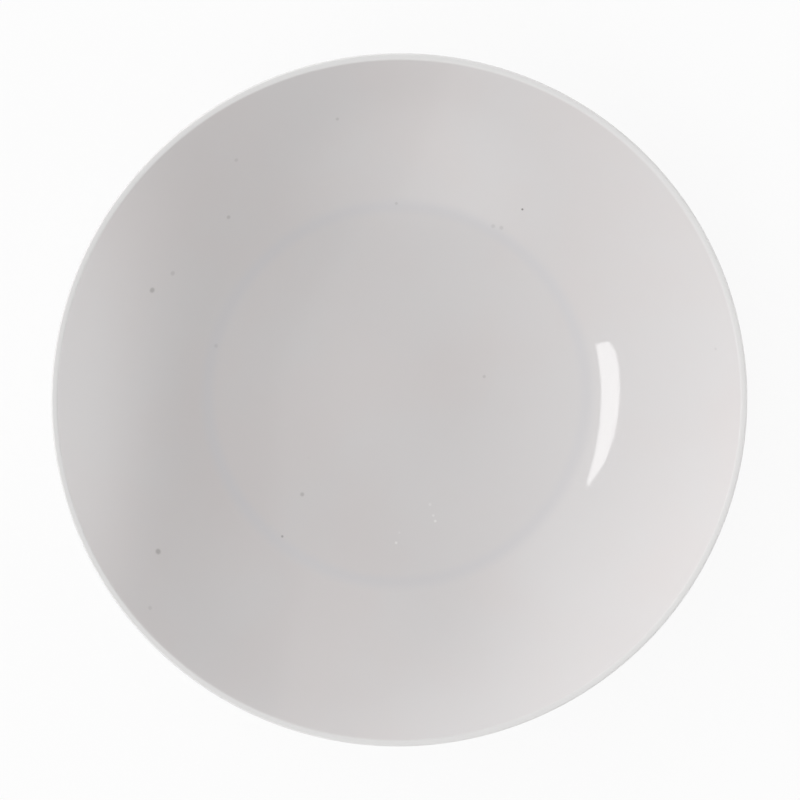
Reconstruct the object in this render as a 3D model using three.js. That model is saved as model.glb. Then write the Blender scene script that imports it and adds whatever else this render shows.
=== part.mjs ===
// A coupe soup plate: a pressed porcelain body with a low foot ring, and the fired glaze that covers it.
// Millimetres, +Z up. The origin is the centre of the foot ring's standing face.

import * as THREE from "three";

// Overall sizes of the finished, glazed plate.
const RIM_DIAMETER = 210;
const HEIGHT = 35;

// The inside of the plate: a floor that is flat in the middle and rises gently to its edge, a curve round it,
// and a wall that steepens up to the lip.
const FLOOR_MIDDLE_DIAMETER = 34;
const FLOOR_DIAMETER = 116;
const FLOOR_EDGE_DEGREES = 12;
const WELL_CURVE_RADIUS = 24;
const WALL_STEEPENING_DEGREES = 17;

// Wall thicknesses, glaze included.
const BASE_THICKNESS = 5;
const WALL_THICKNESS = 4.4;
const LIP_THICKNESS = 2.6;

// The foot ring that the plate stands on, and how far it lifts the middle of the base.
const FOOT_DIAMETER = 115;
const FOOT_WIDTH = 4.4;
const BASE_CLEARANCE = 2;
const FOOT_EDGE_RADIUS = 0.8;
const FOOT_FILLET_RADIUS = 1.2;

// The glaze, and the strip above the foot's rounded edge that is wiped bare before firing.
const GLAZE_THICKNESS = 0.3;
const BARE_STRIP_HEIGHT = 0.4;

// How finely the round shapes are divided, and how often a root is halved down.
const TURN_STEPS = 56;
const FLOOR_STEPS = 4;
const WELL_CURVE_STEPS = 4;
const WALL_STEPS = 8;
const LIP_STEPS = 3;
const UNDERSIDE_STEPS = 8;
const FILLET_STEPS = 3;
const EDGE_STEPS = 3;
const HALVINGS = 60;

const rimRadius = RIM_DIAMETER / 2;
const middleRadius = FLOOR_MIDDLE_DIAMETER / 2;
const middleHeight = BASE_CLEARANCE + BASE_THICKNESS;
const floorRadius = FLOOR_DIAMETER / 2;
const floorEdgeSlope = THREE.MathUtils.degToRad(FLOOR_EDGE_DEGREES);
const floorCurveRadius = (floorRadius - middleRadius) / Math.sin(floorEdgeSlope);
const floorEdgeHeight = middleHeight + floorCurveRadius * (1 - Math.cos(floorEdgeSlope));
const lipRadius = LIP_THICKNESS / 2;
const lipCentre = { r: rimRadius - lipRadius, z: HEIGHT - lipRadius };
const wallSteepening = THREE.MathUtils.degToRad(WALL_STEEPENING_DEGREES);

const footOuterRadius = FOOT_DIAMETER / 2;
const footInnerRadius = footOuterRadius - FOOT_WIDTH;
const footEdgeRadius = Math.min(FOOT_EDGE_RADIUS, FOOT_WIDTH / 2 - GLAZE_THICKNESS);
const glazeLineHeight = footEdgeRadius + BARE_STRIP_HEIGHT;

// The value between low and high at which a rising function passes zero.
function rootOf(rising, low, high) {
  for (let i = 0; i < HALVINGS; i++) {
    const middle = (low + high) / 2;
    if (rising(middle) > 0) high = middle;
    else low = middle;
  }
  return (low + high) / 2;
}

// A point of the section, with the direction that points out of the material there.
function sectionPoint(r, z, angle) {
  return { r, z, nr: Math.cos(angle), nz: Math.sin(angle) };
}

// The point that lies a given depth inside the material.
function sunk(p, depth) {
  return { r: p.r - depth * p.nr, z: p.z - depth * p.nz };
}

// Points on an arc about a centre, from one direction to another. A hollow arc's material lies outside it.
function arcPoints(centre, radius, from, to, steps, hollow = false) {
  const points = [];
  for (let i = 0; i <= steps; i++) {
    const angle = THREE.MathUtils.lerp(from, to, i / steps);
    const r = centre.r + radius * Math.cos(angle);
    const z = centre.z + radius * Math.sin(angle);
    points.push(sectionPoint(r, z, hollow ? angle + Math.PI : angle));
  }
  return points;
}

// The point of the well curve that has a given slope.
function wellCurvePoint(slope) {
  const r = floorRadius + WELL_CURVE_RADIUS * (Math.sin(slope) - Math.sin(floorEdgeSlope));
  const z = floorEdgeHeight + WELL_CURVE_RADIUS * (Math.cos(floorEdgeSlope) - Math.cos(slope));
  return sectionPoint(r, z, slope + Math.PI / 2);
}

// Where the wall starts and ends on the inside, for a given slope at its foot.
function wallEnds(slope) {
  const lipSlope = slope + wallSteepening;
  return {
    start: wellCurvePoint(slope),
    end: {
      r: lipCentre.r - lipRadius * Math.sin(lipSlope),
      z: lipCentre.z + lipRadius * Math.cos(lipSlope),
    },
  };
}

// The wall is one arc, so its chord has the mean of its two end slopes.
const wallSlope = rootOf(
  (slope) => {
    const { start, end } = wallEnds(slope);
    return slope + wallSteepening / 2 - Math.atan2(end.z - start.z, end.r - start.r);
  },
  floorEdgeSlope,
  Math.PI / 2 - wallSteepening,
);
const lipSlope = wallSlope + wallSteepening;

// The chord of an arc as a share of its length, for half the angle that it turns through.
function chordShare(halfTurn) {
  return halfTurn === 0 ? 1 : Math.sin(halfTurn) / halfTurn;
}

// The inside of the plate: the floor's middle for 0 to 1, its rising part for 1 to 2, the well curve for 2 to 3
// and the wall for 3 to 4.
function insidePoint(place) {
  if (place <= 1) return sectionPoint(middleRadius * place, middleHeight, Math.PI / 2);
  if (place <= 2) {
    const slope = floorEdgeSlope * (place - 1);
    const r = middleRadius + floorCurveRadius * Math.sin(slope);
    const z = middleHeight + floorCurveRadius * (1 - Math.cos(slope));
    return sectionPoint(r, z, slope + Math.PI / 2);
  }
  if (place <= 3) return wellCurvePoint(THREE.MathUtils.lerp(floorEdgeSlope, wallSlope, place - 2));
  const { start, end } = wallEnds(wallSlope);
  const arcLength = Math.hypot(end.r - start.r, end.z - start.z) / chordShare(wallSteepening / 2);
  const turn = wallSteepening * (place - 3);
  const reach = arcLength * (place - 3) * chordShare(turn / 2);
  const heading = wallSlope + turn / 2;
  const r = start.r + reach * Math.cos(heading);
  const z = start.z + reach * Math.sin(heading);
  return sectionPoint(r, z, wallSlope + turn + Math.PI / 2);
}

// The thickness eases from the base to the wall in the well curve, and from the wall to the lip above it.
function thicknessAt(place) {
  if (place <= 3) {
    const ease = THREE.MathUtils.smoothstep(place, 2, 3);
    return THREE.MathUtils.lerp(BASE_THICKNESS, WALL_THICKNESS, ease);
  }
  const ease = THREE.MathUtils.smoothstep(place, 3, 4);
  return THREE.MathUtils.lerp(WALL_THICKNESS, LIP_THICKNESS, ease);
}

// The underside, straight through the wall from the inside, with room left below it if asked for.
function undersidePoint(place, room = 0) {
  const inside = insidePoint(place);
  const { r, z } = sunk(inside, thicknessAt(place) + room);
  return { r, z, nr: -inside.nr, nz: -inside.nz };
}

// The place at which the underside, with room below it if asked for, has a given radius.
function undersidePlace(radius, room = 0) {
  return rootOf((place) => undersidePoint(place, room).r - radius, 0, 4);
}

// The foot's fillets stay clear of the glaze lines on its faces.
const footTop = undersidePoint(undersidePlace(footInnerRadius)).z;
const footFilletRadius = Math.min(FOOT_FILLET_RADIUS, (footTop - glazeLineHeight) / 2);

// The rounded lip, from the inside to the outside through its highest and its widest point.
function lipPoints() {
  const lipTop = lipSlope + Math.PI / 2;
  return [
    ...arcPoints(lipCentre, lipRadius, lipTop, Math.PI / 2, LIP_STEPS),
    ...arcPoints(lipCentre, lipRadius, Math.PI / 2, 0, LIP_STEPS).slice(1),
    ...arcPoints(lipCentre, lipRadius, 0, lipTop - Math.PI, LIP_STEPS).slice(1),
  ];
}

// The inside, the lip and the outside, down to the glaze line on the foot's outer face.
function bowlLine() {
  const line = [insidePoint(0)];
  for (let i = 0; i < FLOOR_STEPS; i++) line.push(insidePoint(1 + i / FLOOR_STEPS));
  for (let i = 0; i < WELL_CURVE_STEPS; i++) line.push(insidePoint(2 + i / WELL_CURVE_STEPS));
  for (let i = 0; i < WALL_STEPS; i++) line.push(insidePoint(3 + i / WALL_STEPS));
  line.push(...lipPoints());

  const joint = undersidePlace(footOuterRadius + footFilletRadius, footFilletRadius);
  for (let i = 1; i < UNDERSIDE_STEPS; i++) {
    line.push(undersidePoint(THREE.MathUtils.lerp(4, joint, i / UNDERSIDE_STEPS)));
  }
  const top = undersidePoint(joint);
  const towardsPlate = Math.atan2(-top.nz, -top.nr);
  const centre = sunk(top, -footFilletRadius);
  line.push(...arcPoints(centre, footFilletRadius, towardsPlate, Math.PI, FILLET_STEPS, true));
  line.push(sectionPoint(footOuterRadius, glazeLineHeight, 0));
  return line;
}

// The glaze line on the foot's inner face, the fillet and the recess under the floor, to the middle.
function baseLine() {
  const joint = undersidePlace(footInnerRadius - footFilletRadius, footFilletRadius);
  const top = undersidePoint(joint);
  const towardsPlate = Math.atan2(-top.nz, -top.nr);
  const centre = sunk(top, -footFilletRadius);
  const line = [
    sectionPoint(footInnerRadius, glazeLineHeight, Math.PI),
    ...arcPoints(centre, footFilletRadius, 0, towardsPlate, FILLET_STEPS, true),
  ];
  for (let i = 1; i <= FLOOR_STEPS; i++) {
    line.push(undersidePoint(THREE.MathUtils.lerp(joint, 1, i / FLOOR_STEPS)));
  }
  line.push(undersidePoint(0));
  return line;
}

// The bare standing edge, between the two glaze lines.
function bareFootLine() {
  const outer = { r: footOuterRadius - GLAZE_THICKNESS - footEdgeRadius, z: footEdgeRadius };
  const inner = { r: footInnerRadius + GLAZE_THICKNESS + footEdgeRadius, z: footEdgeRadius };
  return [
    ...arcPoints(outer, footEdgeRadius, 0, -Math.PI / 2, EDGE_STEPS),
    ...arcPoints(inner, footEdgeRadius, -Math.PI / 2, -Math.PI, EDGE_STEPS),
  ];
}

// A solid of revolution about Z from a section that runs clockwise, from the axis above to the axis below.
function turned(section) {
  const outline = section.map(({ r, z }) => new THREE.Vector2(r, z)).reverse();
  return new THREE.LatheGeometry(outline, TURN_STEPS).rotateX(Math.PI / 2);
}

function piece(name, section, material) {
  const mesh = new THREE.Mesh(turned(section), material);
  mesh.name = name;
  return mesh;
}

const biscuit = new THREE.MeshStandardMaterial({ color: 0xd9d4cb, roughness: 0.85, metalness: 0 });
const glaze = new THREE.MeshStandardMaterial({ color: 0xd6d2d2, roughness: 0.08, metalness: 0 });

const bowl = bowlLine();
const base = baseLine();
const underBowlGlaze = bowl.map((p) => sunk(p, GLAZE_THICKNESS));
const underBaseGlaze = base.map((p) => sunk(p, GLAZE_THICKNESS));

const plate = new THREE.Group();
plate.add(piece("porcelain_body", [...underBowlGlaze, ...bareFootLine(), ...underBaseGlaze], biscuit));
plate.add(piece("bowl_glaze", [...bowl, ...underBowlGlaze.toReversed()], glaze));
plate.add(piece("base_glaze", [...underBaseGlaze.toReversed(), ...base], glaze));

export default plate;
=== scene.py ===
"""The looks of a glazed porcelain soup plate: turned meshes, glaze and biscuit finishes, a plain studio."""
import logging
import math
from collections.abc import Callable, Iterable
from dataclasses import dataclass, field
from enum import Enum, IntEnum

import bpy
from mathutils import Matrix, Vector


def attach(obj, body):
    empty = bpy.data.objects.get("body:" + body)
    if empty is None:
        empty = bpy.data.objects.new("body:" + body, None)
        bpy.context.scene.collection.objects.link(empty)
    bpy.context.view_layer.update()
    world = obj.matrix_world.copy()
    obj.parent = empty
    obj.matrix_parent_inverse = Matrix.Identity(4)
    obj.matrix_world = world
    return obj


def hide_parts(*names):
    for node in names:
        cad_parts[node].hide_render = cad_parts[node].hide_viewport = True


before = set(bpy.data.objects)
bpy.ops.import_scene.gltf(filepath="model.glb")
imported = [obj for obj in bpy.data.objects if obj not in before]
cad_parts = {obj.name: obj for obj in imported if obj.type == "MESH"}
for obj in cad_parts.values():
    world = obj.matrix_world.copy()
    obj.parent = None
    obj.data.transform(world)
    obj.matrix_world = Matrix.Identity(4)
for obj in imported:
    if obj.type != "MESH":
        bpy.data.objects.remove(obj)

LOG = logging.getLogger("soup_plate")
MM = 0.001
BODY = "root"
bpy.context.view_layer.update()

Colour = tuple[float, float, float]
Pair = tuple[float, float]
Outline = list[Pair]
Socket = bpy.types.NodeSocket


class Node(Enum):
    """The solids that the dressed pieces stand for."""

    PORCELAIN = "porcelain_body"
    BOWL_GLAZE = "bowl_glaze"
    BASE_GLAZE = "base_glaze"


class Slot(Enum):
    """The record's finishes."""

    BISCUIT = "biscuit"
    GLAZE = "white_glaze"


class Place(IntEnum):
    """Where each stretch of the plate's inside starts, on a count that runs from the middle to the lip."""

    MIDDLE = 0
    RISE = 1
    CURVE = 2
    WALL = 3
    LIP = 4


class FootFace(Enum):
    """The two upright faces of the foot, with the way that each one looks along the radius."""

    OUTER = 1.0
    INNER = -1.0


class Mark(Enum):
    """What a mark in the glaze is: a real iron speck or a painted glint."""

    IRON = "a dark speck of iron"
    # A painted highlight: a pale spot painted into the glaze that stands in for a glint of light.
    PAINTED_GLINT = "a pale, burst bubble"


class NodeSheet:
    """Adds and joins the nodes of one material or world."""

    def __init__(self, tree: bpy.types.NodeTree) -> None:
        """Starts on an emptied node tree.

        Args:
            tree: the tree that the nodes go into.
        """
        tree.nodes.clear()
        self.tree = tree

    def add(self, kind: str, **settings: object) -> bpy.types.Node:
        """Adds one node.

        Args:
            kind: the node's type name.
            settings: attributes to set on it.

        Returns:
            The new node.
        """
        node = self.tree.nodes.new(kind)
        for key, value in settings.items():
            setattr(node, key, value)
        return node

    def feed(self, socket: Socket, value: object) -> None:
        """Joins a socket to another one, or sets its value.

        Args:
            socket: the input to fill.
            value: an output socket, or the value itself.
        """
        if isinstance(value, Socket):
            self.tree.links.new(value, socket)
        else:
            socket.default_value = value

    def maths(self, operation: str, *values: object) -> Socket:
        """One step of arithmetic.

        Args:
            operation: the Math node's operation.
            values: its numbers or sockets, in order.

        Returns:
            The result's socket.
        """
        node = self.add("ShaderNodeMath", operation=operation)
        for socket, value in zip(node.inputs, values):
            self.feed(socket, value)
        return node.outputs["Value"]

    def vector(self, operation: str, first: object, second: object = (0, 0, 0)) -> bpy.types.Node:
        """One step of vector arithmetic.

        Args:
            operation: the Vector Math node's operation.
            first: the first vector or socket.
            second: the second one, where the operation has it.

        Returns:
            The node, with its Vector and Value outputs.
        """
        node = self.add("ShaderNodeVectorMath", operation=operation)
        self.feed(node.inputs[0], first)
        self.feed(node.inputs[1], second)
        return node

    def radius(self, place: Socket) -> Socket:
        """A place's distance from the plate's axis."""
        flat = self.vector("MULTIPLY", place, (1, 1, 0)).outputs["Vector"]
        return self.vector("LENGTH", flat).outputs["Value"]

    def height(self, place: Socket) -> Socket:
        """A place's height above the table."""
        return self.vector("DOT_PRODUCT", place, (0, 0, 1)).outputs["Value"]

    def ease(self, value: object, start: float, end: float, low: float = 0.0, high: float = 1.0) -> Socket:
        """A smooth step from low to high while a value goes from start to end.

        Args:
            value: the socket to read.
            start: where the step starts.
            end: where it ends.
            low: the result before it.
            high: the result after it.

        Returns:
            The result's socket.
        """
        node = self.add("ShaderNodeMapRange", interpolation_type="SMOOTHSTEP")
        settings = {"Value": value, "From Min": start, "From Max": end, "To Min": low, "To Max": high}
        for name, setting in settings.items():
            self.feed(node.inputs[name], setting)
        return node.outputs["Result"]

    def noise(self, place: object, grain: float, detail: float) -> Socket:
        """Soft noise of one grain size.

        Args:
            place: the vector socket that it follows.
            grain: the size of its patches, in millimetres.
            detail: how many finer layers it has.

        Returns:
            The socket of its value, about 0.5 on average.
        """
        node = self.add("ShaderNodeTexNoise")
        self.feed(node.inputs["Vector"], place)
        self.feed(node.inputs["Scale"], 1 / (grain * MM))
        self.feed(node.inputs["Detail"], detail)
        return node.outputs["Fac"]

    def mix(self, share: object, first: object, second: object) -> Socket:
        """A blend of two colours.

        Args:
            share: how much of the second one shows.
            first: a colour or its socket.
            second: a colour or its socket.

        Returns:
            The blend's socket.
        """
        node = self.add("ShaderNodeMix", data_type="RGBA")
        sockets = {socket.identifier: socket for socket in node.inputs}
        self.feed(sockets["Factor_Float"], share)
        for key, colour in (("A_Color", first), ("B_Color", second)):
            self.feed(sockets[key], colour if isinstance(colour, Socket) else (*colour, 1.0))
        return next(socket for socket in node.outputs if socket.identifier == "Result_Color")

    def bump(self, height: Socket) -> Socket:
        """Bends the surface's normal.

        Args:
            height: the relief's height, in metres.

        Returns:
            The socket of the bent normal.
        """
        node = self.add("ShaderNodeBump")
        for name, value in (("Strength", 1.0), ("Distance", 1.0), ("Height", height)):
            self.feed(node.inputs[name], value)
        return node.outputs["Normal"]

    def show(self, shader: Socket, kind: str = "ShaderNodeOutputMaterial") -> None:
        """Ends the tree with an output node that shows a shader."""
        self.feed(self.add(kind).inputs["Surface"], shader)


def new_material(name: str) -> tuple[bpy.types.Material, NodeSheet]:
    """Makes an empty material.

    Args:
        name: the material's name.

    Returns:
        The material, and the sheet of its nodes.
    """
    material = bpy.data.materials.new(name)
    material.use_nodes = True
    return material, NodeSheet(material.node_tree)


def put_in_scene(name: str, data: bpy.types.ID) -> bpy.types.Object:
    """Puts a mesh or a camera into the scene.

    Args:
        name: the object's name.
        data: its mesh or its camera.

    Returns:
        The new object.
    """
    thing = bpy.data.objects.new(name, data)
    bpy.context.scene.collection.objects.link(thing)
    return thing


@dataclass(frozen=True)
class SectionPoint:
    """A point of the plate's half section, in millimetres, with the direction out of the material there."""

    r: float
    z: float
    angle: float

    def sunk(self, depth: float) -> "SectionPoint":
        """The point that lies a given depth inside the material."""
        return SectionPoint(self.r - depth * math.cos(self.angle), self.z - depth * math.sin(self.angle),
                            self.angle)


def pairs(points: Iterable[SectionPoint]) -> Outline:
    """The points as pairs of radius and height."""
    return [(point.r, point.z) for point in points]


def mixed(first: float, second: float, share: float) -> float:
    """The number that lies a share of the way from the first to the second."""
    return first + (second - first) * share


def eased(value: float, start: float, end: float) -> float:
    """A smooth step from 0 to 1 while a value goes from start to end."""
    share = min(max((value - start) / (end - start), 0.0), 1.0)
    return share * share * (3 - 2 * share)


def arc(centre: Pair, radius: float, start: float, end: float, steps: int,
        hollow: bool = False) -> list[SectionPoint]:
    """Points on an arc of the section.

    Args:
        centre: the arc's centre, as radius and height.
        radius: the arc's own radius.
        start: the direction from the centre to the first point.
        end: the direction to the last one.
        steps: how many steps are taken.
        hollow: whether the material lies outside the arc.

    Returns:
        The points, both ends included.
    """
    points = []
    for i in range(steps + 1):
        angle = mixed(start, end, i / steps)
        r = centre[0] + radius * math.cos(angle)
        z = centre[1] + radius * math.sin(angle)
        points.append(SectionPoint(r, z, angle + math.pi if hollow else angle))
    return points


@dataclass
class PlateSection:
    """The plate's half section, with the sizes of the solids, in millimetres."""

    rim_diameter: float = 210.0
    height: float = 35.0
    floor_middle_diameter: float = 34.0
    floor_diameter: float = 116.0
    floor_edge_slope: float = math.radians(12)
    well_curve_radius: float = 24.0
    wall_steepening: float = math.radians(17)
    base_thickness: float = 5.0
    wall_thickness: float = 4.4
    lip_thickness: float = 2.6
    lip_land_radius: float = 9.0
    lip_corner_radius: float = 1.2
    lip_edge_radius: float = 0.55
    lip_edge_angle: float = math.radians(91)
    foot_diameter: float = 115.0
    foot_width: float = 4.4
    base_clearance: float = 2.0
    foot_edge_radius: float = 0.8
    foot_fillet_radius: float = 1.2
    glaze_thickness: float = 0.3
    glaze_line: float = 1.2
    roll_height: float = 0.1
    roll_length: float = 0.9
    middle_rings: int = 3
    floor_steps: int = 16
    curve_steps: int = 16
    wall_steps: int = 36
    lip_steps: int = 8
    underside_steps: int = 36
    small_steps: int = 8
    root_halvings: int = 60

    @property
    def middle_height(self) -> float:
        """The height of the floor's flat middle."""
        return self.base_clearance + self.base_thickness

    @property
    def floor_curve_radius(self) -> float:
        """The radius of the arc that the floor rises along."""
        return (self.floor_diameter - self.floor_middle_diameter) / 2 / math.sin(self.floor_edge_slope)

    @property
    def lip_centre(self) -> Pair:
        """The centre of the rounding below the lip, as radius and height."""
        return self.rim_diameter / 2 - self.lip_thickness / 2, self.height - self.lip_thickness / 2

    def face_radius(self, face: FootFace) -> float:
        """The radius of one face of the foot, glaze included."""
        return self.foot_diameter / 2 - (self.foot_width if face is FootFace.INNER else 0.0)

    def well_curve(self, slope: float) -> SectionPoint:
        """The point of the well curve that has a given slope.

        Args:
            slope: the slope there.

        Returns:
            The point.
        """
        edge = self.floor_edge_slope
        edge_height = self.middle_height + self.floor_curve_radius * (1 - math.cos(edge))
        reach = self.well_curve_radius * (math.sin(slope) - math.sin(edge))
        rise = self.well_curve_radius * (math.cos(edge) - math.cos(slope))
        return SectionPoint(self.floor_diameter / 2 + reach, edge_height + rise, slope + math.pi / 2)

    def wall_ends(self, slope: float) -> tuple[Pair, Pair]:
        """Where the wall starts and ends on the inside.

        Args:
            slope: the wall's slope where it leaves the well curve.

        Returns:
            The two ends, each as radius and height.
        """
        lip_slope = slope + self.wall_steepening
        lip_r, lip_z = self.lip_centre
        start = self.well_curve(slope)
        end = (lip_r - self.lip_thickness / 2 * math.sin(lip_slope),
               lip_z + self.lip_thickness / 2 * math.cos(lip_slope))
        return (start.r, start.z), end

    def wall_slope(self) -> float:
        """The slope at the wall's foot, at which its chord has the mean of its two end slopes.

        Returns:
            The slope.
        """
        def excess(slope: float) -> float:
            """How much steeper the mean slope is than the chord."""
            (r0, z0), (r1, z1) = self.wall_ends(slope)
            return slope + self.wall_steepening / 2 - math.atan2(z1 - z0, r1 - r0)

        return self.root_of(excess, self.floor_edge_slope, math.pi / 2 - self.wall_steepening)

    def root_of(self, rising: Callable[[float], float], low: float, high: float) -> float:
        """The value at which a rising function passes zero.

        Args:
            rising: the function of one number.
            low: a value below the root.
            high: a value above it.

        Returns:
            The root.
        """
        for _ in range(self.root_halvings):
            middle = (low + high) / 2
            low, high = (low, middle) if rising(middle) > 0 else (middle, high)
        return (low + high) / 2

    def inside(self, place: float) -> SectionPoint:
        """A point of the inside.

        Args:
            place: where it is, on the count that Place names.

        Returns:
            The point.
        """
        middle_radius = self.floor_middle_diameter / 2
        if place <= Place.RISE:
            return SectionPoint(middle_radius * place, self.middle_height, math.pi / 2)
        if place <= Place.CURVE:
            here = self.floor_edge_slope * (place - Place.RISE)
            return SectionPoint(middle_radius + self.floor_curve_radius * math.sin(here),
                                self.middle_height + self.floor_curve_radius * (1 - math.cos(here)),
                                here + math.pi / 2)
        slope = self.wall_slope()
        if place <= Place.WALL:
            return self.well_curve(mixed(self.floor_edge_slope, slope, place - Place.CURVE))
        (r0, z0), (r1, z1) = self.wall_ends(slope)
        half = self.wall_steepening / 2
        length = math.hypot(r1 - r0, z1 - z0) * half / math.sin(half)
        share = place - Place.WALL
        turn = self.wall_steepening * share
        reach = length * share * (math.sin(turn / 2) / (turn / 2) if turn else 1.0)
        return SectionPoint(r0 + reach * math.cos(slope + turn / 2), z0 + reach * math.sin(slope + turn / 2),
                            slope + turn + math.pi / 2)

    def underside(self, place: float, room: float = 0.0) -> SectionPoint:
        """The point of the underside that lies straight through the wall.

        Args:
            place: the place on the inside.
            room: a further distance below the underside.

        Returns:
            The point, facing down.
        """
        if place <= Place.WALL:
            thickness = mixed(self.base_thickness, self.wall_thickness, eased(place, Place.CURVE, Place.WALL))
        else:
            thickness = mixed(self.wall_thickness, self.lip_thickness, eased(place, Place.WALL, Place.LIP))
        inside = self.inside(place)
        below = inside.sunk(thickness + room)
        return SectionPoint(below.r, below.z, inside.angle + math.pi)

    @staticmethod
    def along(line: Callable[[float], SectionPoint], start: float, end: float,
              steps: int) -> list[SectionPoint]:
        """Points of the inside or the underside, from one place up to another that is left out."""
        return [line(mixed(start, end, i / steps)) for i in range(steps)]

    def fillet(self, face: FootFace) -> tuple[float, list[SectionPoint]]:
        """The hollow between the underside and one face of the foot.

        Args:
            face: the face of the foot.

        Returns:
            The place on the inside above its upper end, and its points from the underside down.
        """
        radius = self.foot_fillet_radius
        reach = self.face_radius(face) + face.value * radius
        joint = self.root_of(lambda place: self.underside(place, radius).r - reach, Place.MIDDLE, Place.LIP)
        top = self.underside(joint)
        centre = top.sunk(-radius)
        start = top.angle - math.pi
        end = math.pi if face is FootFace.OUTER else 0.0
        return joint, arc((centre.r, centre.z), radius, start, end, self.small_steps, hollow=True)

    def lip_line(self) -> list[SectionPoint]:
        """The lip: a small rounding inside, a nearly level land, a rounding outside and one below.

        Returns:
            The points from the end of the wall's inside to the start of its underside.
        """
        land, corner, edge = self.lip_land_radius, self.lip_corner_radius, self.lip_edge_radius
        lip_r, lip_z = self.lip_centre
        half = self.lip_thickness / 2
        top = self.wall_slope() + self.wall_steepening + math.pi / 2
        outer = (self.rim_diameter / 2 - edge, self.height - edge)
        middle = (outer[0] - (land - edge) * math.cos(self.lip_edge_angle),
                  outer[1] - (land - edge) * math.sin(self.lip_edge_angle))
        behind = (middle[0] - lip_r) * math.cos(top) + (middle[1] - lip_z) * math.sin(top)
        joint = top - math.acos((half - corner - behind) / (land - corner))
        inner = (middle[0] + (land - corner) * math.cos(joint), middle[1] + (land - corner) * math.sin(joint))
        line = arc(inner, corner, top, joint, self.lip_steps)[:-1]
        line += arc(middle, land, joint, self.lip_edge_angle, self.lip_steps)[:-1]
        line += arc(outer, edge, self.lip_edge_angle, math.pi / 2, 1)[:-1]
        line += arc(outer, edge, math.pi / 2, 0.0, self.lip_steps)
        return line + arc(self.lip_centre, half, 0.0, top - math.pi, self.lip_steps)[:-1]

    def bowl_line(self) -> list[SectionPoint]:
        """The inside, the lip and the outside, down to the top of the glaze's roll on the foot.

        Returns:
            The points, from the middle of the floor.
        """
        line = self.along(self.inside, Place.MIDDLE, Place.RISE, self.middle_rings)
        line += self.along(self.inside, Place.RISE, Place.CURVE, self.floor_steps)
        line += self.along(self.inside, Place.CURVE, Place.WALL, self.curve_steps)
        line += self.along(self.inside, Place.WALL, Place.LIP, self.wall_steps)
        line += self.lip_line()
        joint, fillet = self.fillet(FootFace.OUTER)
        return line + self.along(self.underside, Place.LIP, joint, self.underside_steps) + fillet

    def base_line(self) -> list[SectionPoint]:
        """The recess under the floor, down to the top of the glaze's roll inside the foot.

        Returns:
            The points, from the middle of the recess.
        """
        joint, fillet = self.fillet(FootFace.INNER)
        recess = self.along(self.underside, Place.MIDDLE, Place.RISE, self.middle_rings)
        recess += self.along(self.underside, Place.RISE, joint, self.floor_steps)
        return recess + fillet

    def glaze_roll(self, face: FootFace) -> Outline:
        """The thickened, rounded edge where the glaze stops on the foot.

        Args:
            face: the face of the foot.

        Returns:
            Points as radius and height, from the face down to the bare body.
        """
        radius, outwards = self.face_radius(face), face.value
        body = radius - outwards * self.glaze_thickness
        end_height = self.glaze_thickness + self.roll_height
        points = []
        for i in range(1, self.small_steps):
            drop = i / self.small_steps
            height = mixed(self.roll_length, end_height, drop)
            bulge = self.roll_height * eased(drop, 0, 1)
            points.append((radius + outwards * bulge, self.glaze_line + height))
        for i in range(self.small_steps + 1):
            angle = math.pi / 2 * i / self.small_steps
            points.append((body + outwards * end_height * math.cos(angle),
                           self.glaze_line + end_height * (1 - math.sin(angle))))
        return points

    def bare_foot(self) -> Outline:
        """The bare standing edge between the two glaze lines.

        Returns:
            Points as radius and height, from the outer face to the inner one.
        """
        edge = self.foot_edge_radius
        outer = self.face_radius(FootFace.OUTER) - self.glaze_thickness
        inner = self.face_radius(FootFace.INNER) + self.glaze_thickness
        roundings = arc((outer - edge, edge), edge, 0.0, -math.pi / 2, self.small_steps)
        roundings += arc((inner + edge, edge), edge, -math.pi / 2, -math.pi, self.small_steps)
        return [(outer, self.glaze_line), *pairs(roundings), (inner, self.glaze_line)]

    def porcelain_outline(self) -> Outline:
        """The body's outline under the glaze.

        Returns:
            Points as radius and height, from the axis above to the axis below.
        """
        bowl = [point.sunk(self.glaze_thickness) for point in self.bowl_line()]
        base = [point.sunk(self.glaze_thickness) for point in reversed(self.base_line())]
        return pairs(bowl) + self.bare_foot() + pairs(base)

    def bowl_glaze_outline(self) -> Outline:
        """The outline of the glaze over the inside, the lip and the outside.

        Returns:
            Points as radius and height, out over the glaze and back under it.
        """
        bowl = self.bowl_line()
        under = [point.sunk(self.glaze_thickness) for point in reversed(bowl)]
        return pairs(bowl) + self.glaze_roll(FootFace.OUTER) + pairs(under)

    def base_glaze_outline(self) -> Outline:
        """The outline of the glaze under the floor, inside the foot.

        Returns:
            Points as radius and height, out above the glaze and back below it.
        """
        base = self.base_line()
        above = [point.sunk(self.glaze_thickness) for point in base]
        return pairs(above) + self.glaze_roll(FootFace.INNER)[::-1] + pairs(reversed(base))


@dataclass(frozen=True)
class Speck:
    """A mark in the glaze: its place on the inside and its width in millimetres, its tone and its kind."""

    x: float
    y: float
    width: float
    tone: float
    mark: Mark = Mark.IRON


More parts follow.
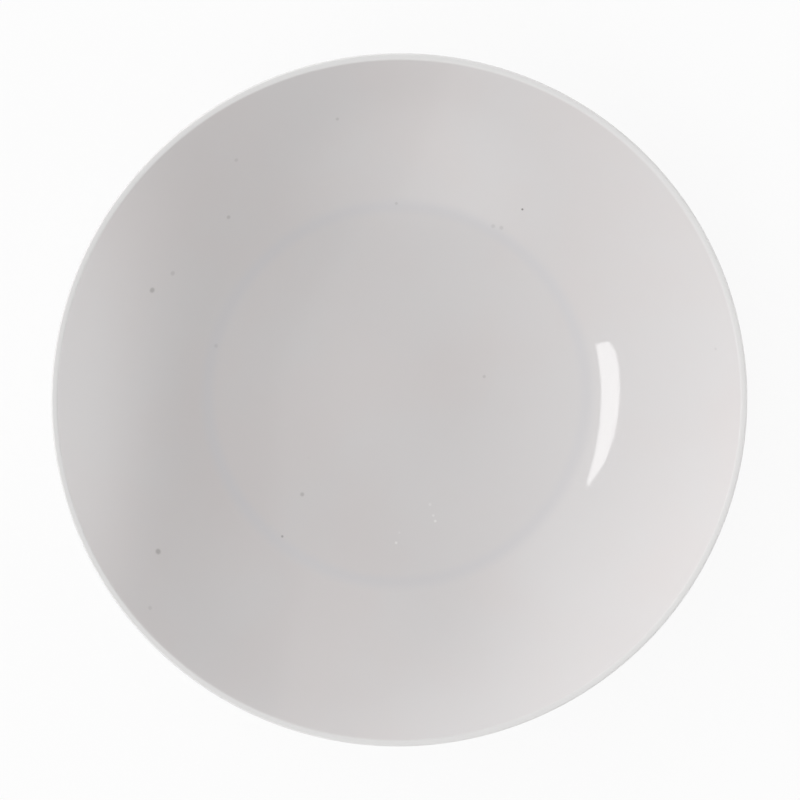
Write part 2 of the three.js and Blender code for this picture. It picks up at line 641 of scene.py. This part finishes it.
@dataclass(frozen=True)
class WhiteGlaze:
    """A clear, bright glaze over white porcelain, with a little iron in it.

    Grains, depths, pitches, widths and reaches are in millimetres. A range is the part of the noise that a
    change runs over. The reach of the lip's pale paint is counted in from the rim and its drop down from the
    top;
    that paint is partly the thin glaze's own paler tone and partly painted light, the glow of light through
    the thin lip and the lift over its rounding. The edge of a speck and the core of a grain of dust are
    shares of their sizes.
    """

    colour: Colour = (0.677, 0.648, 0.645)
    cloud: Colour = (0.677, 0.658, 0.658)
    pooled: Colour = (0.657, 0.642, 0.652)
    pool_reach: Pair = (3.2, 3.6)
    # Partly the thin glaze's paler tone, partly painted glow of light through the thin lip and over its
    # rounding.
    lip_tone_and_painted_glow: Colour = (0.79, 0.782, 0.778)
    lip_glow_reach: Pair = (2.4, 1.5)
    lip_glow_drop: Pair = (1.8, 0.9)
    iron: Colour = (0.10, 0.085, 0.08)
    # Painted glints: the pale colour of spots that stand in for glints of light on the glaze.
    glint_paint_colour: Colour = (0.9, 0.89, 0.88)
    speck_edge: Pair = (0.2, 0.6)
    refraction: float = 1.58
    gloss: Pair = (0.02, 0.045)
    gloss_range: Pair = (0.3, 0.7)
    cloud_grain: float = 38.0
    cloud_range: Pair = (0.35, 0.65)
    wave_grain: float = 22.0
    wave_depth: float = 0.012
    peel_grain: float = 1.4
    peel_depth: float = 0.0006
    ring_pitch: float = 3.6
    ring_depth: float = 0.0012
    ring_range: Pair = (0.4, 0.6)
    ring_fade: float = 6.0
    dust_pitch: float = 9.0
    dust_width: float = 0.32
    dust_core: float = 0.4
    dust_share: float = 0.16
    dust_tone: float = 0.35

    def colour_socket(self, sheet: NodeSheet, place: Socket, specks: tuple[Speck, ...],
                      section: PlateSection) -> Socket:
        """The glaze's colour: clouds, a pooled band round the floor, a pale lip that is partly painted glow,
        iron specks and painted glints.

        Args:
            sheet: the material's nodes.
            place: the vector of the place on the plate.
            specks: the specks that are placed one by one.
            section: the plate's section.

        Returns:
            The colour's socket.
        """
        radius = sheet.radius(place)
        clouds = sheet.ease(sheet.noise(place, self.cloud_grain, detail=3.0), *self.cloud_range)
        colour = sheet.mix(clouds, self.colour, self.cloud)
        edge = section.floor_diameter / 2 * MM
        inner = sheet.ease(radius, edge - self.pool_reach[0] * MM, edge)
        outer = sheet.ease(radius, edge, edge + self.pool_reach[1] * MM, 1.0, 0.0)
        colour = sheet.mix(sheet.maths("MULTIPLY", inner, outer), colour, self.pooled)
        # Painted light on the lip: a paler colour that is partly the thin glaze's own tone and partly painted
        # glow of light through the thin lip and over its rounding.
        across = [(section.rim_diameter / 2 - reach) * MM for reach in self.lip_glow_reach]
        upwards = [(section.height - drop) * MM for drop in self.lip_glow_drop]
        high = sheet.ease(sheet.height(place), *upwards)
        lip_tone_and_glow_share = sheet.maths("MULTIPLY", sheet.ease(radius, *across), high)
        colour = sheet.mix(lip_tone_and_glow_share, colour, self.lip_tone_and_painted_glow)
        iron, pale = self.dust(sheet, place), 0.0
        for speck in specks:
            tone = self.speck_tone(sheet, place, speck, section)
            # Painted highlights: the glint marks are pale spots painted into the colour.
            if speck.mark is Mark.PAINTED_GLINT:
                pale = sheet.maths("MAXIMUM", pale, tone)
            else:
                iron = sheet.maths("MAXIMUM", iron, tone)
        return sheet.mix(iron, sheet.mix(pale, colour, self.glint_paint_colour), self.iron)

    def dust(self, sheet: NodeSheet, place: Socket) -> Socket:
        """Fine iron dust all over the glaze.

        Args:
            sheet: the material's nodes.
            place: the vector of the place on the plate.

        Returns:
            The socket of its tone.
        """
        cells = sheet.add("ShaderNodeTexVoronoi", feature="F1")
        sheet.feed(cells.inputs["Vector"], place)
        sheet.feed(cells.inputs["Scale"], 1 / (self.dust_pitch * MM))
        reach = self.dust_width / 2 / self.dust_pitch
        dot = sheet.ease(cells.outputs["Distance"], reach * self.dust_core, reach, self.dust_tone, 0.0)
        pick = sheet.add("ShaderNodeSeparateColor")
        sheet.feed(pick.inputs["Color"], cells.outputs["Color"])
        chosen = sheet.maths("GREATER_THAN", pick.outputs["Red"], 1 - self.dust_share)
        return sheet.maths("MULTIPLY", dot, chosen)

    def speck_tone(self, sheet: NodeSheet, place: Socket, speck: Speck, section: PlateSection) -> Socket:
        """One placed speck.

        Args:
            sheet: the material's nodes.
            place: the vector of the place on the plate.
            speck: the speck.
            section: the plate's section, for its height.

        Returns:
            The socket of its tone.
        """
        radius = math.hypot(speck.x, speck.y)
        at = section.root_of(lambda guess: section.inside(guess).r - radius, Place.MIDDLE, Place.LIP)
        point = (speck.x * MM, speck.y * MM, section.inside(at).z * MM)
        far = sheet.vector("DISTANCE", place, point).outputs["Value"]
        start, end = (speck.width * share * MM for share in self.speck_edge)
        return sheet.ease(far, start, end, speck.tone, 0.0)

    def bump_socket(self, sheet: NodeSheet, place: Socket, section: PlateSection) -> Socket:
        """The glaze's slow waves, its fine peel and the faint rings that turning left in the floor.

        Args:
            sheet: the material's nodes.
            place: the vector of the place on the plate.
            section: the plate's section, for the floor's edge.

        Returns:
            The socket of the bent normal.
        """
        radius = sheet.radius(place)
        waves = sheet.maths("MULTIPLY", sheet.noise(place, self.wave_grain, detail=1.0), self.wave_depth * MM)
        peel = sheet.maths("MULTIPLY", sheet.noise(place, self.peel_grain, detail=1.0), self.peel_depth * MM)
        turns = sheet.maths("SINE", sheet.maths("MULTIPLY", radius, math.tau / (self.ring_pitch * MM)))
        patches = sheet.ease(sheet.noise(place, self.cloud_grain, detail=2.0), *self.ring_range)
        edge = section.floor_diameter / 2
        floor = sheet.ease(radius, edge * MM, (edge + self.ring_fade) * MM, 1.0, 0.0)
        rings = sheet.maths("MULTIPLY", sheet.maths("MULTIPLY", turns, self.ring_depth * MM),
                            sheet.maths("MULTIPLY", patches, floor))
        return sheet.bump(sheet.maths("ADD", sheet.maths("ADD", waves, peel), rings))

    def material(self, section: PlateSection, specks: tuple[Speck, ...]) -> bpy.types.Material:
        """Makes the finish.

        Args:
            section: the plate's section.
            specks: the specks that are placed one by one.

        Returns:
            The material.
        """
        material, sheet = new_material(Slot.GLAZE.value)
        place = sheet.add("ShaderNodeTexCoord").outputs["Object"]
        shader = sheet.add("ShaderNodeBsdfPrincipled")
        sheet.feed(shader.inputs["Base Color"], self.colour_socket(sheet, place, specks, section))
        streaks = sheet.noise(place, self.wave_grain, detail=3.0)
        sheet.feed(shader.inputs["Roughness"], sheet.ease(streaks, *self.gloss_range, *self.gloss))
        sheet.feed(shader.inputs["IOR"], self.refraction)
        sheet.feed(shader.inputs["Normal"], self.bump_socket(sheet, place, section))
        sheet.show(shader.outputs["BSDF"])
        return material


@dataclass(frozen=True)
class Biscuit:
    """Bare fired porcelain, finely grained, a little stained where it stands.

    Grains, depths and heights are in millimetres. A range is the part of the noise that a change runs over.
    """

    colour: Colour = (0.69, 0.66, 0.60)
    warm: Colour = (0.62, 0.57, 0.49)
    stain: Colour = (0.36, 0.33, 0.30)
    stain_height: Pair = (0.05, 0.4)
    stain_range: Pair = (0.52, 0.72)
    stain_share: float = 0.6
    roughness: Pair = (0.72, 0.92)
    cloud_grain: float = 9.0
    cloud_range: Pair = (0.35, 0.7)
    grit_grain: float = 0.35
    grit_depth: float = 0.02

    def material(self) -> bpy.types.Material:
        """Makes the finish.

        Returns:
            The material.
        """
        material, sheet = new_material(Slot.BISCUIT.value)
        place = sheet.add("ShaderNodeTexCoord").outputs["Object"]
        clouds = sheet.ease(sheet.noise(place, self.cloud_grain, detail=4.0), *self.cloud_range)
        grit = sheet.noise(place, self.grit_grain, detail=3.0)
        colour = sheet.mix(clouds, self.colour, self.warm)
        low, high = (height * MM for height in self.stain_height)
        standing = sheet.ease(sheet.height(place), low, high, 1.0, 0.0)
        worn = sheet.maths("MULTIPLY", standing, sheet.ease(grit, *self.stain_range, 0.0, self.stain_share))
        shader = sheet.add("ShaderNodeBsdfPrincipled")
        sheet.feed(shader.inputs["Base Color"], sheet.mix(worn, colour, self.stain))
        sheet.feed(shader.inputs["Roughness"], sheet.ease(clouds, 0.0, 1.0, *self.roughness))
        relief = sheet.maths("MULTIPLY", grit, self.grit_depth * MM)
        sheet.feed(shader.inputs["Normal"], sheet.bump(relief))
        sheet.show(shader.outputs["BSDF"])
        return material


@dataclass
class SoupPlate:
    """The plate: a porcelain body and the two coats of glaze that the bare foot parts."""

    section: PlateSection = field(default_factory=PlateSection)
    glaze: WhiteGlaze = field(default_factory=WhiteGlaze)
    biscuit: Biscuit = field(default_factory=Biscuit)
    turn_steps: int = 192
    axis_radius: float = 1e-6
    specks: tuple[Speck, ...] = (
        Speck(38.0, 57.1, 0.8, 0.75), Speck(-35.4, -43.6, 0.9, 0.45), Speck(-74.7, 33.2, 1.9, 0.32),
        Speck(-73.3, -46.3, 2.0, 0.33), Speck(-29.2, -30.9, 1.5, 0.25), Speck(-51.5, 55.1, 1.4, 0.22),
        Speck(31.8, 51.3, 1.5, 0.16), Speck(29.3, 51.8, 1.5, 0.13), Speck(-18.6, 85.0, 1.2, 0.17),
        Speck(26.9, 5.2, 1.2, 0.17), Speck(-0.3, 58.8, 1.1, 0.16), Speck(-68.5, 38.2, 1.7, 0.15),
        Speck(-49.1, 72.7, 1.4, 0.13), Speck(-75.7, -62.5, 1.5, 0.12), Speck(-55.5, 15.3, 1.4, 0.12),
        # From the second mark on this line on, the marks are painted glints: pale spots that stand in for
        # glints of light.
        Speck(95.7, 15.6, 1.0, 0.1), Speck(-0.3, -46.0, 1.0, 0.55, Mark.PAINTED_GLINT),
        Speck(11.8, -39.4, 1.0, 0.55, Mark.PAINTED_GLINT), Speck(11.2, -37.7, 0.9, 0.4, Mark.PAINTED_GLINT),
        Speck(10.2, -34.3, 1.1, 0.3, Mark.PAINTED_GLINT), Speck(0.7, -42.9, 0.9, 0.2, Mark.PAINTED_GLINT))

    def turned(self, name: str, outline: Outline, material: bpy.types.Material) -> bpy.types.Object:
        """Turns an outline about the plate's axis.

        Args:
            name: the piece's name.
            outline: points as radius and height, clockwise, with both ends on the axis.
            material: the piece's finish.

        Returns:
            The new object, in the scene.
        """
        corners: list[tuple[float, float, float]] = []
        rings: list[list[int]] = []
        for radius, height in outline:
            count = 1 if radius < self.axis_radius else self.turn_steps
            rings.append(list(range(len(corners), len(corners) + count)))
            for k in range(count):
                turn = math.tau * k / self.turn_steps
                corners.append((radius * math.cos(turn) * MM, radius * math.sin(turn) * MM, height * MM))
        faces: list[tuple[int, ...]] = []
        for ring, after in zip(rings, rings[1:]):
            for k in range(self.turn_steps):
                n = (k + 1) % self.turn_steps
                if len(ring) == 1:
                    faces.append((ring[0], after[k], after[n]))
                elif len(after) == 1:
                    faces.append((ring[k], after[0], ring[n]))
                else:
                    faces.append((ring[k], after[k], after[n], ring[n]))
        mesh = bpy.data.meshes.new(name)
        mesh.from_pydata(corners, [], faces)
        mesh.shade_smooth()
        mesh.materials.append(material)
        return put_in_scene(name, mesh)

    def build(self) -> list[bpy.types.Object]:
        """Builds and dresses the three pieces.

        Returns:
            The pieces, each riding on the plate's body.
        """
        glaze = self.glaze.material(self.section, self.specks)
        biscuit = self.biscuit.material()
        parts = (
            ("porcelain", self.section.porcelain_outline(), biscuit, Node.PORCELAIN, Slot.BISCUIT),
            ("glaze_over_the_bowl", self.section.bowl_glaze_outline(), glaze, Node.BOWL_GLAZE, Slot.GLAZE),
            ("glaze_under_the_base", self.section.base_glaze_outline(), glaze, Node.BASE_GLAZE, Slot.GLAZE),
        )
        pieces = []
        for name, outline, material, node, slot in parts:
            piece = self.turned(name, outline, material)
            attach(piece, BODY)
            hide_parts(node.value)
            pieces.append(piece)
        return pieces


def heading(azimuth: float, elevation: float) -> Vector:
    """The direction from the plate at two angles in degrees, counted from +X and from the table."""
    turn, rise = math.radians(azimuth), math.radians(elevation)
    return Vector((math.cos(rise) * math.cos(turn), math.cos(rise) * math.sin(turn), math.sin(rise)))


@dataclass(frozen=True)
class Softbox:
    """A lit panel that faces the plate.

    Its direction is in degrees. Its distance and its corners, across and up, are in metres.
    """

    azimuth: float = 183.0
    elevation: float = 54.0
    distance: float = 0.96
    corners: tuple[Pair, ...] = (
        (0.213, 0.058), (0.221, 0.012), (0.195, -0.006), (0.15, -0.011), (0.09, -0.009), (0.03, -0.001),
        (-0.045, 0.016), (-0.118, 0.046), (-0.186, 0.094), (-0.172, 0.099), (-0.095, 0.082), (-0.006, 0.064),
        (0.09, 0.055))
    brightness: float = 5.6

    def hang(self) -> bpy.types.Object:
        """Hangs the panel, out of the camera's sight.

        Returns:
            The panel.
        """
        out = heading(self.azimuth, self.elevation)
        along = Vector((0, 0, 1)).cross(out).normalized()
        up = out.cross(along)
        mesh = bpy.data.meshes.new("softbox")
        places = [out * self.distance + along * u + up * v for u, v in self.corners]
        mesh.from_pydata(places, [], [tuple(range(len(places)))])
        material, sheet = new_material("softbox_cloth")
        glow = sheet.add("ShaderNodeEmission")
        sheet.feed(glow.inputs["Strength"], self.brightness)
        sheet.show(glow.outputs["Emission"])
        mesh.materials.append(material)
        panel = put_in_scene("softbox", mesh)
        panel.visible_camera = False
        return panel


@dataclass(frozen=True)
class Glow:
    """A patch of light in the surroundings.

    Its direction, its half width and the width of its soft edge are in degrees.
    """

    azimuth: float
    elevation: float
    spread: float
    edge: float
    strength: float


@dataclass
class Studio:
    """A plain white floor, soft surroundings, one softbox and the camera above.

    The floor's reach and the camera's distance are in metres. The camera's aim is in millimetres.
    """

    floor_reach: float = 12.0
    floor_colour: Colour = (0.86, 0.86, 0.86)
    floor_white: float = 0.9
    ambient: float = 0.04
    glows: tuple[Glow, ...] = (
        Glow(195.0, 5.0, 93.0, 30.0, 1.1), Glow(165.0, 5.0, 100.0, 4.0, 0.38),
        Glow(350.0, 5.0, 45.0, 30.0, 1.92), Glow(130.0, 5.0, 60.0, 40.0, 0.75),
        Glow(90.0, 5.0, 50.0, 50.0, 0.91), Glow(270.0, 45.0, 25.0, 20.0, 0.85),
        Glow(0.0, 0.0, 45.0, 30.0, 1.0), Glow(60.0, 55.0, 25.0, 25.0, 0.55))
    softbox: Softbox = field(default_factory=Softbox)
    tilt: float = math.radians(6.2)
    tilt_azimuth: float = math.radians(110.8)
    aim: Pair = (-0.05, 0.73)
    camera_distance: float = 1.3
    rim_pixels: float = 696.5
    picture_pixels: float = 800.0

    def lay_floor(self) -> bpy.types.Object:
        """Lays a wide, plain white floor that keeps the plate's shadow.

        Returns:
            The floor.
        """
        reach = self.floor_reach
        mesh = bpy.data.meshes.new("floor")
        mesh.from_pydata([(-reach, -reach, 0), (reach, -reach, 0), (reach, reach, 0), (-reach, reach, 0)], [],
                         [(0, 1, 2, 3)])
        material, sheet = new_material("white_floor")
        path = sheet.add("ShaderNodeLightPath")
        seen = sheet.maths("MAXIMUM", path.outputs["Is Camera Ray"], path.outputs["Is Glossy Ray"])
        seen = sheet.maths("MAXIMUM", seen, path.outputs["Is Transmission Ray"])
        plain = sheet.add("ShaderNodeBsdfDiffuse")
        sheet.feed(plain.inputs["Color"], (*self.floor_colour, 1.0))
        glow = sheet.add("ShaderNodeEmission")
        blend = sheet.add("ShaderNodeMixShader")
        sheet.feed(blend.inputs["Fac"], sheet.maths("MULTIPLY", seen, self.floor_white))
        sheet.feed(blend.inputs[1], plain.outputs["BSDF"])
        sheet.feed(blend.inputs[2], glow.outputs["Emission"])
        sheet.show(blend.outputs["Shader"])
        mesh.materials.append(material)
        floor = put_in_scene("floor", mesh)
        return floor

    def surround(self) -> None:
        """Lights the plate from all round, with soft brighter patches."""
        world = bpy.data.worlds.new("surroundings")
        bpy.context.scene.world = world
        world.use_nodes = True
        sheet = NodeSheet(world.node_tree)
        towards = sheet.add("ShaderNodeTexCoord").outputs["Generated"]
        light: object = self.ambient
        for glow in self.glows:
            middle = heading(glow.azimuth, glow.elevation)
            near = sheet.vector("DOT_PRODUCT", towards, middle).outputs["Value"]
            full = math.cos(math.radians(glow.spread - glow.edge))
            patch = sheet.ease(near, math.cos(math.radians(glow.spread)), full, 0.0, glow.strength)
            light = sheet.maths("ADD", light, patch)
        background = sheet.add("ShaderNodeBackground")
        sheet.feed(background.inputs["Strength"], light)
        sheet.show(background.outputs["Background"], "ShaderNodeOutputWorld")

    def set_camera(self, section: PlateSection) -> bpy.types.Object:
        """Sets the camera above the plate, a little behind it and to the left.

        Args:
            section: the plate's section, for the rim's size and height.

        Returns:
            The camera.
        """
        data = bpy.data.cameras.new("camera")
        camera = put_in_scene("camera", data)
        back = Vector((math.sin(self.tilt) * math.cos(self.tilt_azimuth),
                       math.sin(self.tilt) * math.sin(self.tilt_azimuth), math.cos(self.tilt)))
        target = Vector((self.aim[0] * MM, self.aim[1] * MM, section.lip_centre[1] * MM))
        right = Vector((0, 1, 0)).cross(back).normalized()
        axes = Matrix((right, back.cross(right), back)).transposed()
        camera.matrix_world = Matrix.Translation(target + back * self.camera_distance) @ axes.to_4x4()
        width = section.rim_diameter * MM * self.picture_pixels / self.rim_pixels
        data.lens = data.sensor_width * self.camera_distance / width
        bpy.context.scene.camera = camera
        return camera

    def build(self, section: PlateSection) -> None:
        """Sets up the floor, the light and the camera.

        Args:
            section: the plate's section.
        """
        self.lay_floor()
        self.surround()
        self.softbox.hang()
        self.set_camera(section)
        bpy.context.scene.view_settings.view_transform = "Standard"


def main() -> None:
    """Builds the plate and its studio."""
    logging.basicConfig(level=logging.INFO, format="%(message)s")
    plate = SoupPlate()
    for piece in plate.build():
        LOG.info("%s: %d faces", piece.name, len(piece.data.polygons))
    Studio().build(plate.section)


if __name__ == "__main__":
    main()
